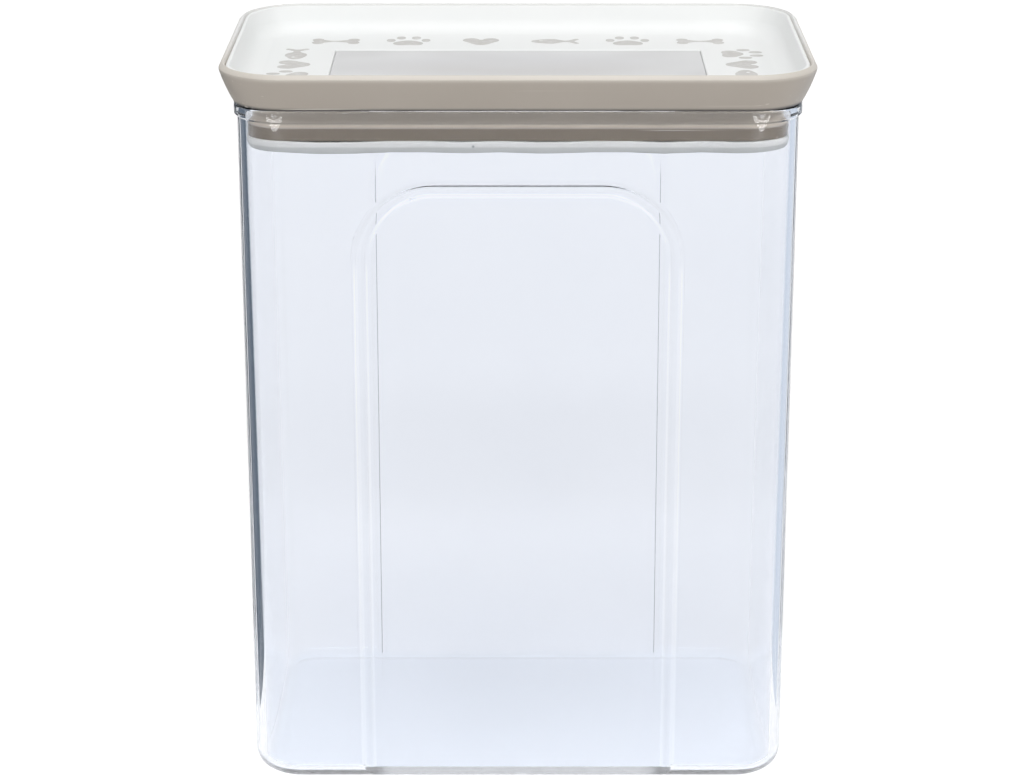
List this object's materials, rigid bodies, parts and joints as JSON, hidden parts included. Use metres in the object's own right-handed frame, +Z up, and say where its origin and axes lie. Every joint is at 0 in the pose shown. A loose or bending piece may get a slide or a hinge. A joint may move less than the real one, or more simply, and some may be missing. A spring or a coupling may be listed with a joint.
{
  "type": "food storage jar",
  "caption": "Tall clear rectangular storage jar with recessed grip panels and a lift-off plug lid that has a flared rim, a shallow top tray and a soft seal.",
  "frame": {"origin": "middle of the underside of the jar, on the surface that it stands on", "axes": "+Z up, +X along the jar's width, -Y towards the viewer at the front"},
  "size_m": [0.1802, 0.1102, 0.2322],
  "materials": {
    "clear_plastic": "clear, polished",
    "lid_plastic": "satin taupe",
    "tray_plastic": "semi-gloss white",
    "window_plastic": "clear, lightly frosted",
    "seal_silicone": "translucent silicone"
  },
  "bodies": {
    "jar": {"jar_body": "clear_plastic"},
    "lid": {"lid_shell": "lid_plastic", "lid_tray": "tray_plastic", "window_pane": "window_plastic", "seal_ring": "seal_silicone"}
  },
  "joints": [
    {"name": "lid_lift", "type": "slide", "parent": "jar", "child": "lid", "axis": [0, 0, 1], "range_m": [0, 0.06]}
  ]
}
